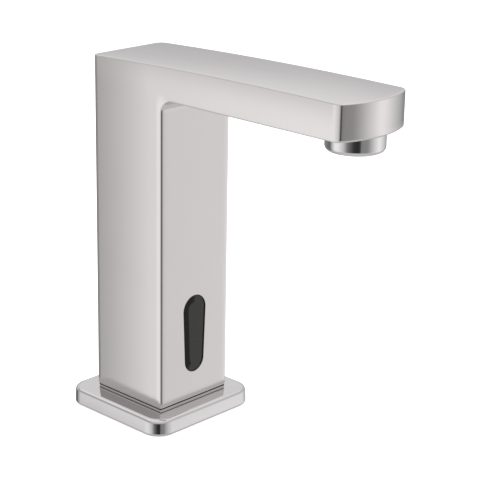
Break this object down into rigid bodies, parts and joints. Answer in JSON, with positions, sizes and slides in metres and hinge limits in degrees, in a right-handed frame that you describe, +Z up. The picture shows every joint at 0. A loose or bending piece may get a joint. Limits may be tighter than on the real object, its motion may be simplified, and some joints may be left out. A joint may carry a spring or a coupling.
{
  "type": "sensor tap",
  "caption": "Deck-mounted sensor tap with a square column, flat crowned spout, square flange, infrared window and inner pilot valve.",
  "frame": {"origin": "centre of the column on the deck, at the underside of the flange", "axes": "+Z up out of the deck, -Y along the spout towards the user, +X to the right of the sensor window seen from the column"},
  "size_m": [0.0658, 0.1667, 0.1796],
  "materials": {
    "satin_chrome": "satin brushed nickel-chrome plating over cast brass",
    "polished_chrome": "polished chrome plating",
    "smoked_lens": "smoked infrared-passing plastic, glossy",
    "black_rubber": "matte moulded rubber",
    "black_plastic": "fine-textured moulded plastic",
    "white_plastic": "natural acetal, slightly translucent look",
    "grey_plastic": "moulded pale grey plastic",
    "stainless": "drawn stainless steel",
    "green_board": "solder-resist coated board",
    "clear_blue_eye": "pale blue cast resin",
    "dark_eye": "dark cast resin",
    "red_light": "red cast resin",
    "cast_brass": "cast brass, machined faces",
    "copper_wire": "enamelled copper wire",
    "zinc_steel": "zinc-plated sheet steel",
    "battery_wrap": "printed-film wrap on steel can",
    "nickel_contact": "nickel-plated spring steel",
    "red_lead": "silicone insulation, red",
    "black_lead": "silicone insulation, black"
  },
  "bodies": {
    "root": {"base_block": "cast_brass", "battery_bracket": "zinc_steel", "battery_cap": "black_plastic", "battery_cap_screw": "stainless", "battery_case": "black_plastic", "battery_cells": "battery_wrap", "battery_contacts": "nickel_contact", "battery_leads": "black_lead", "board_screws": "stainless", "body": "satin_chrome", "body_set_screw": "stainless", "bracket_screws": "stainless", "cap_seal": "black_rubber", "case_screws": "stainless", "check_cage": "white_plastic", "check_spring": "stainless", "circuit_board": "green_board", "coil_bobbin": "white_plastic", "coil_clip": "zinc_steel", "coil_leads": "red_lead", "coil_winding": "copper_wire", "coil_yoke": "zinc_steel", "control_chip": "black_plastic", "core_stop": "stainless", "deck_gasket": "black_rubber", "diaphragm": "black_rubber", "flange": "polished_chrome", "housing_screws": "stainless", "indicator_light": "red_light", "inlet_filter": "white_plastic", "inlet_seals": "black_rubber", "ir_emitter": "clear_blue_eye", "ir_receiver": "dark_eye", "plunger_guide": "stainless", "plunger_spring": "stainless", "sensor_housing": "black_plastic", "sensor_window": "smoked_lens", "tube_seals": "black_rubber", "valve_body": "white_plastic", "valve_bonnet": "white_plastic", "valve_screws": "stainless", "water_tube": "stainless", "window_seal": "black_rubber"},
    "plunger_group": {"plunger": "stainless", "plunger_seal": "black_rubber"},
    "diaphragm_group": {"diaphragm_disc": "white_plastic"},
    "check_group": {"check_poppet": "white_plastic"},
    "aerator_core": {"aerator_insert": "grey_plastic", "aerator_screen": "stainless", "aerator_washer": "black_rubber"},
    "aerator_ring": {"aerator_housing": "polished_chrome"}
  },
  "joints": [
    {"name": "plunger_lift", "type": "slide", "parent": "root", "child": "plunger_group", "axis": [0, 0, 1], "range_m": [0, 0.002], "stiffness_N_per_m": 150, "springref_m": -0.004, "deforming": ["plunger_spring"]},
    {"name": "diaphragm_lift", "type": "slide", "parent": "root", "child": "diaphragm_group", "axis": [0, 0, 1], "range_m": [0, 0.0012]},
    {"name": "check_lift", "type": "slide", "parent": "root", "child": "check_group", "axis": [0, 0, 1], "range_m": [0, 0.0025], "stiffness_N_per_m": 60, "springref_m": -0.002, "deforming": ["check_spring"]},
    {"name": "aerator_drop", "type": "slide", "parent": "root", "child": "aerator_core", "axis": [0, 0, -1], "range_m": [0, 0.004]},
    {"name": "aerator_unscrew", "type": "hinge", "parent": "aerator_core", "child": "aerator_ring", "pos_m": [0, -0.1194, 0.158], "axis": [0, 0, -1], "range_deg": [0, 1440]}
  ],
  "couplings": [
    {"joint": "diaphragm_lift", "follows": "plunger_lift", "ratio": 0.6},
    {"joint": "aerator_unscrew", "follows": "aerator_drop", "rad_per_m": 6283.2}
  ]
}
